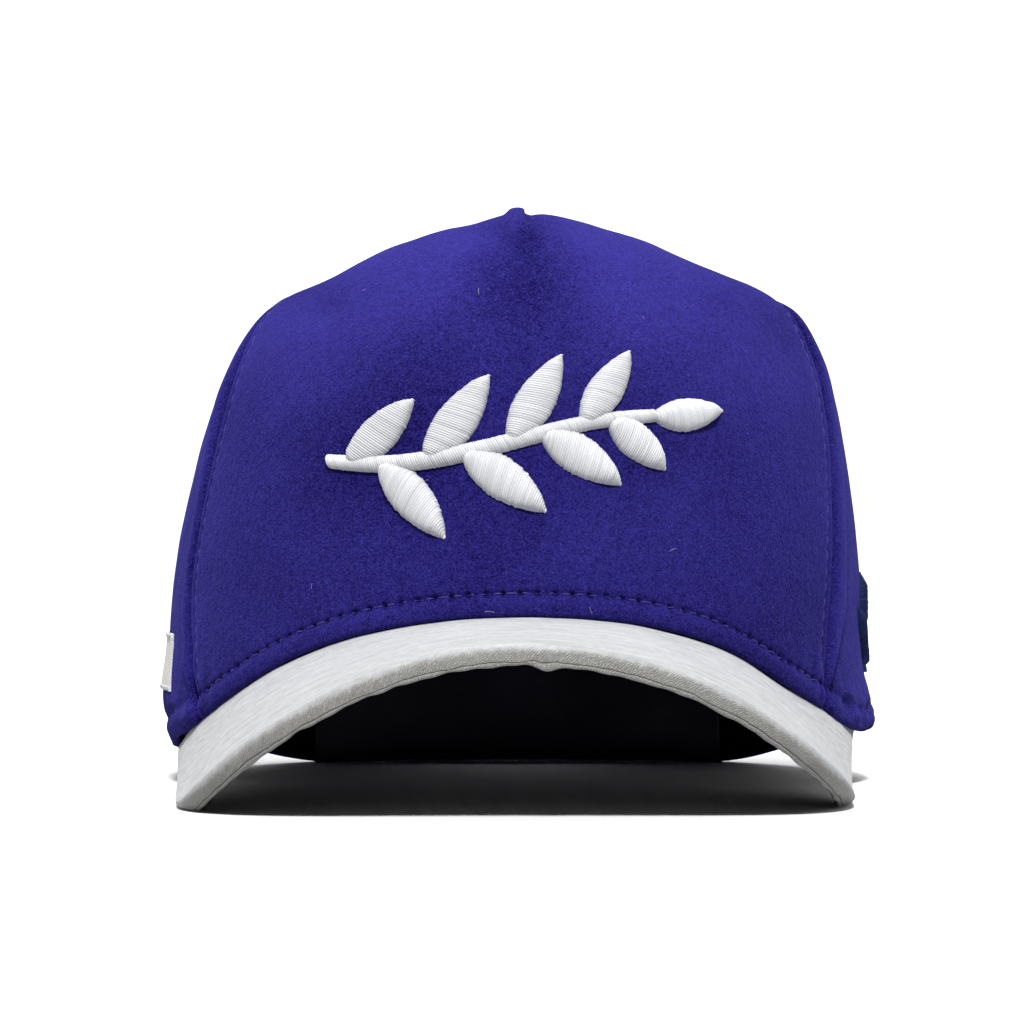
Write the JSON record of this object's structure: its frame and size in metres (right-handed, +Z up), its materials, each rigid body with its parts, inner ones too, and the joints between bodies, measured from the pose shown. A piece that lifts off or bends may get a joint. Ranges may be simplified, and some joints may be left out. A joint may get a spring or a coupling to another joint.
{
  "type": "curved-peak cap",
  "caption": "Cap with a high one-piece front, two side and two back panels, a curved peak, a sweatband, a strap across the back arch and plain raised trim.",
  "frame": {"origin": "middle of the cap's footprint on the table, below the crown", "axes": "+Z up from the table, -Y out over the peak, +X to the right as the front is seen"},
  "size_m": [0.1778, 0.2658, 0.1394],
  "materials": {
    "crown_suede": "short brushed nap, matte",
    "peak_felt": "brushed pale cloth, matte",
    "band_cloth": "woven, matte",
    "strap_plastic": "satin",
    "white_thread": "satin stitch, soft gloss",
    "navy_thread": "satin stitch, soft gloss",
    "patch_cloth": "woven, matte"
  },
  "bodies": {
    "root": {"front_panel": "crown_suede", "side_panel_left": "crown_suede", "side_panel_right": "crown_suede", "back_panel_left": "crown_suede", "back_panel_right": "crown_suede", "top_button": "crown_suede", "peak_top_cover": "peak_felt", "peak_under_cover": "peak_felt", "sweatband": "band_cloth", "closing_strap": "strap_plastic", "front_sprig": "white_thread", "side_emblem_right": "navy_thread", "side_patch_left": "patch_cloth"}
  },
  "joints": []
}
